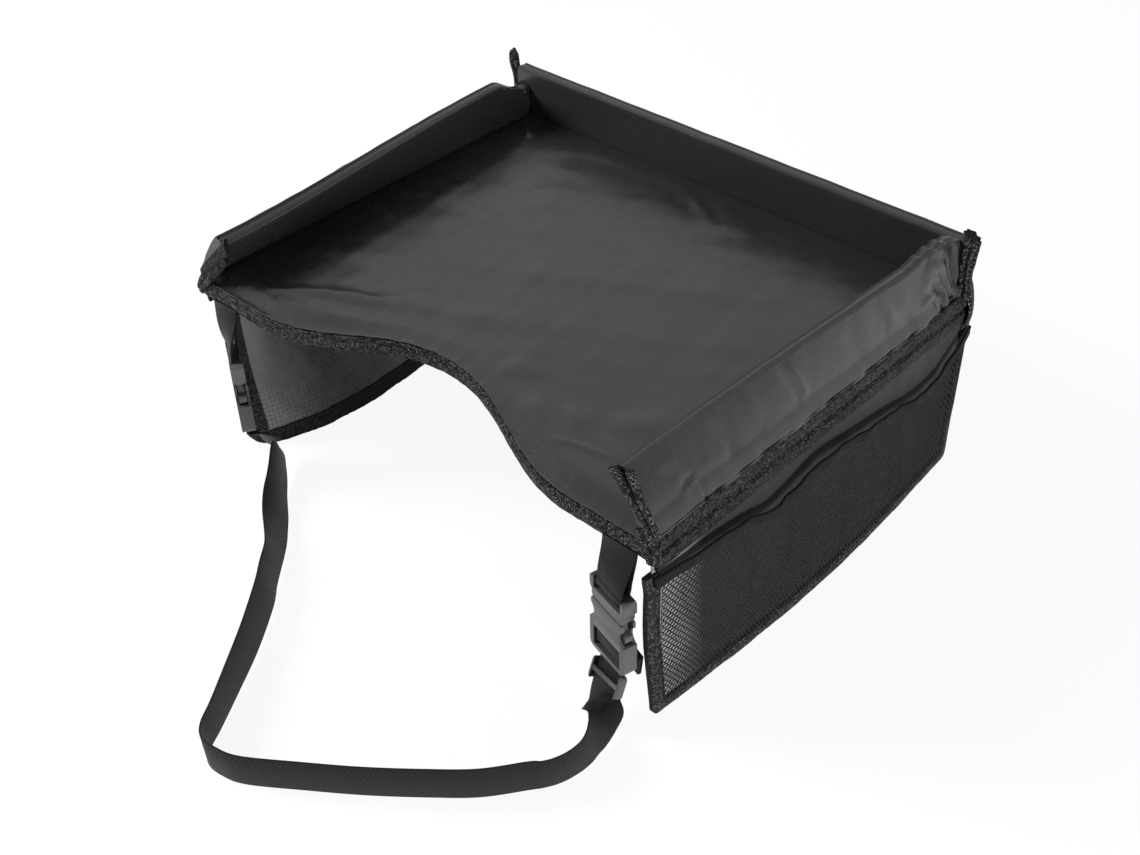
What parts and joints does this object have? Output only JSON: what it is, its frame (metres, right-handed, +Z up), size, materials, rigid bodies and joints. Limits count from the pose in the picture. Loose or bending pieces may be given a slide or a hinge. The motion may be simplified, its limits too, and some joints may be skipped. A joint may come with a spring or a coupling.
{
  "type": "car seat tray table",
  "caption": "Soft lap tray with fold-down walls, net pockets on hanging side panels and a buckled webbing belt.",
  "frame": {"origin": "middle of the whole object's box, on the surface that it stands on", "axes": "+X to the child's right, -Y towards the child and the belly cut-out, +Z up"},
  "size_m": [0.431, 0.5212, 0.1959],
  "materials": {
    "nylon_cover": "black coated nylon cloth with a soft sheen",
    "nylon_underside": "black lining cloth, dull",
    "grosgrain_tape": "black ribbed binding tape with a stitch line",
    "foam_board": "stiff polyethylene foam board, matte",
    "polyester_net": "black knitted net",
    "webbing": "black woven webbing",
    "acetal_plastic": "black moulded plastic, satin"
  },
  "bodies": {
    "tray": {"tray_top_cover": "nylon_cover", "tray_board": "foam_board", "tray_underside_cover": "nylon_underside", "front_edge_binding": "grosgrain_tape", "left_edge_cover": "nylon_cover", "right_edge_cover": "nylon_cover", "back_edge_cover": "nylon_cover", "left_rim_binding": "grosgrain_tape", "right_rim_binding": "grosgrain_tape", "back_rim_binding": "grosgrain_tape", "left_front_corner_tack": "grosgrain_tape", "right_front_corner_tack": "grosgrain_tape", "left_corner_gusset": "nylon_cover", "right_corner_gusset": "nylon_cover"},
    "right_wall": {"right_wall_board": "foam_board", "right_wall_cover": "nylon_cover", "right_wall_front_binding": "grosgrain_tape"},
    "left_wall": {"left_wall_board": "foam_board", "left_wall_cover": "nylon_cover", "left_wall_front_binding": "grosgrain_tape"},
    "back_wall": {"back_wall_board": "foam_board", "back_wall_cover": "nylon_cover", "back_left_corner_binding": "grosgrain_tape", "back_right_corner_binding": "grosgrain_tape"},
    "right_panel": {"right_side_panel": "nylon_cover", "right_panel_binding": "grosgrain_tape", "right_pocket_net": "polyester_net", "right_pocket_hem": "grosgrain_tape"},
    "left_panel": {"left_side_panel": "nylon_cover", "left_panel_binding": "grosgrain_tape", "left_pocket_net": "polyester_net", "left_pocket_hem": "grosgrain_tape"},
    "left_tab": {"left_tab_webbing": "webbing", "left_buckle_plug": "acetal_plastic"},
    "right_tab": {"right_tab_webbing": "webbing", "right_buckle_plug": "acetal_plastic"},
    "left_prong_a": {"left_prong_a": "acetal_plastic"},
    "left_prong_b": {"left_prong_b": "acetal_plastic"},
    "right_prong_a": {"right_prong_a": "acetal_plastic"},
    "right_prong_b": {"right_prong_b": "acetal_plastic"},
    "belt": {"left_buckle_socket": "acetal_plastic", "right_buckle_socket": "acetal_plastic", "belt_webbing": "webbing", "belt_tail": "webbing"},
    "adjuster": {"slide_adjuster": "acetal_plastic"}
  },
  "joints": [
    {"name": "wall_fold", "type": "hinge", "parent": "tray", "child": "back_wall", "pos_m": [-0.00423, 0.24909, 0.1479], "axis": [1, 0, 0], "range_deg": [0, 86], "deforming": ["left_corner_gusset", "right_corner_gusset"]},
    {"name": "right_wall_fold", "type": "hinge", "parent": "tray", "child": "right_wall", "pos_m": [0.18527, 0.09959, 0.1479], "axis": [0, -1, 0], "range_deg": [0, 58]},
    {"name": "left_wall_fold", "type": "hinge", "parent": "tray", "child": "left_wall", "pos_m": [-0.19373, 0.09959, 0.1479], "axis": [0, 1, 0], "range_deg": [0, 51]},
    {"name": "right_panel_swing", "type": "hinge", "parent": "tray", "child": "right_panel", "pos_m": [0.19627, 0.09959, 0.1192], "axis": [0, 1, 0], "range_deg": [-30, 85]},
    {"name": "left_panel_swing", "type": "hinge", "parent": "tray", "child": "left_panel", "pos_m": [-0.20473, 0.09959, 0.1192], "axis": [0, -1, 0], "range_deg": [-30, 72]},
    {"name": "belt_swing", "type": "hinge", "parent": "tray", "child": "left_tab", "pos_m": [-0.18223, -0.06291, 0.12479], "axis": [-1, 0, 0], "range_deg": [0, 95]},
    {"name": "right_tab_swing", "type": "hinge", "parent": "tray", "child": "right_tab", "pos_m": [0.17377, -0.06291, 0.12479], "axis": [-1, 0, 0], "range_deg": [0, 95]},
    {"name": "buckle_release", "type": "slide", "parent": "left_tab", "child": "belt", "axis": [0, 0, -1], "range_m": [0, 0.03]},
    {"name": "belt_adjust", "type": "slide", "parent": "belt", "child": "adjuster", "axis": [0.0544, -0.4895, -0.8703], "range_m": [0, 0.004]},
    {"name": "left_prong_a_squeeze", "type": "hinge", "parent": "left_tab", "child": "left_prong_a", "pos_m": [-0.1788, -0.06576, 0.08209], "axis": [-0.515, -0.8572, 0], "range_deg": [0, 7], "stiffness_Nm_per_rad": 0.6},
    {"name": "left_prong_b_squeeze", "type": "hinge", "parent": "left_tab", "child": "left_prong_b", "pos_m": [-0.16165, -0.07606, 0.08209], "axis": [0.515, 0.8572, 0], "range_deg": [0, 7], "stiffness_Nm_per_rad": 0.6},
    {"name": "right_prong_a_squeeze", "type": "hinge", "parent": "right_tab", "child": "right_prong_a", "pos_m": [0.16412, -0.06582, 0.08209], "axis": [-0.2588, -0.9659, 0], "range_deg": [0, 7], "stiffness_Nm_per_rad": 0.6},
    {"name": "right_prong_b_squeeze", "type": "hinge", "parent": "right_tab", "child": "right_prong_b", "pos_m": [0.18343, -0.071, 0.08209], "axis": [0.2588, 0.9659, 0], "range_deg": [0, 7], "stiffness_Nm_per_rad": 0.6}
  ],
  "couplings": [
    {"joint": "right_wall_fold", "follows": "wall_fold", "ratio": 0.67},
    {"joint": "left_wall_fold", "follows": "wall_fold", "ratio": 0.59},
    {"joint": "right_tab_swing", "follows": "belt_swing", "ratio": 1},
    {"joint": "left_prong_a_squeeze", "follows": "left_prong_b_squeeze", "ratio": 1},
    {"joint": "right_prong_a_squeeze", "follows": "right_prong_b_squeeze", "ratio": 1}
  ]
}
